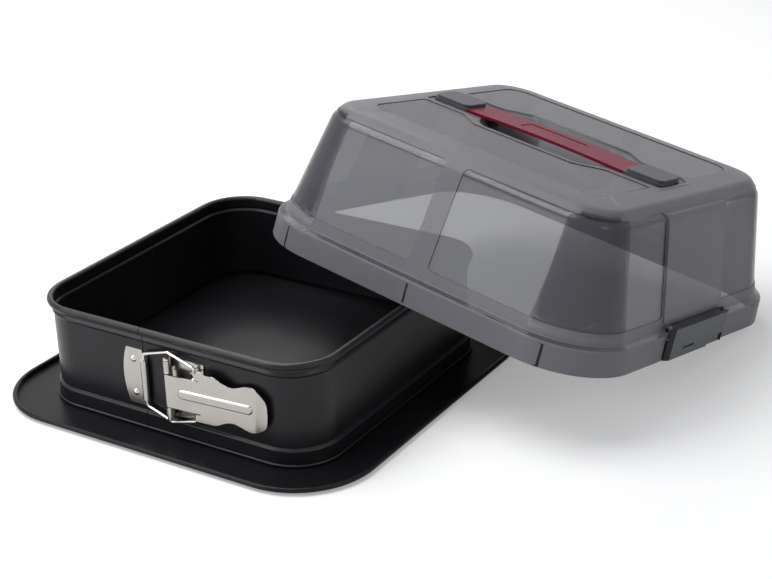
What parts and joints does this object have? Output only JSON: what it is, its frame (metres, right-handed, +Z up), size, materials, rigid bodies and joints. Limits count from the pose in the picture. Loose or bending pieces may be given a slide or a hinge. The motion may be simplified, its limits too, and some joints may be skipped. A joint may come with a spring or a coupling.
{
  "type": "springform pan with cover",
  "caption": "Square black springform pan with a lever clasp on a raised leak-proof base, with a smoky domed carrying cover that has a red strap handle and side clips.",
  "frame": {"origin": "centre of the base plate's underside, on the table", "axes": "+Z up; -Y is the face with the clasp; +X to the right when facing the clasp"},
  "size_m": [0.4558, 0.4698, 0.1956],
  "materials": {
    "black_coating": "satin non-stick coating",
    "polished_steel": "bright plated steel",
    "smoky_plastic": "smoky translucent",
    "red_plastic": "dark red translucent",
    "grey_plastic": "satin",
    "clip_plastic": "dark smoky translucent"
  },
  "bodies": {
    "base": {"base_plate": "black_coating"},
    "ring": {"springform_band": "black_coating", "seam_lap_strip": "black_coating", "catch_plate": "polished_steel", "catch_rivets": "polished_steel", "lever_bracket": "polished_steel", "bracket_rivets": "polished_steel", "lever_pin": "polished_steel"},
    "lever": {"lever": "polished_steel"},
    "bail": {"bail": "polished_steel"},
    "cover": {"hood": "smoky_plastic", "handle_strap": "red_plastic", "handle_cap_left": "grey_plastic", "handle_cap_right": "grey_plastic"},
    "clip_right": {"clip_right": "clip_plastic"},
    "clip_left": {"clip_left": "clip_plastic"}
  },
  "joints": [
    {"name": "ring_lift", "type": "slide", "parent": "base", "child": "ring", "axis": [0, 0, 1], "range_m": [0, 0.1]},
    {"name": "lever_swing", "type": "hinge", "parent": "ring", "child": "lever", "pos_m": [0.0065, -0.1274, 0.0415], "axis": [0, 0, -1], "range_deg": [0, 160]},
    {"name": "bail_swing", "type": "hinge", "parent": "ring", "child": "bail", "pos_m": [-0.0174, -0.1236, 0.0415], "axis": [0, 0, -1], "range_deg": [0, 14]},
    {"name": "cover_lift", "type": "slide", "parent": "ring", "child": "cover", "axis": [0, 0, 1], "range_m": [0, 0.2]},
    {"name": "clip_right_swing", "type": "hinge", "parent": "cover", "child": "clip_right", "pos_m": [0.29104, 0.13458, 0.05119], "axis": [-0.0899, -0.9753, 0.2017], "range_deg": [0, 100]},
    {"name": "clip_left_swing", "type": "hinge", "parent": "cover", "child": "clip_left", "pos_m": [-0.00963, 0.17128, 0.0946], "axis": [0.0899, 0.9753, -0.2017], "range_deg": [0, 100]}
  ],
  "couplings": [
    {"joint": "bail_swing", "follows": "lever_swing", "ratio": 0.075}
  ]
}
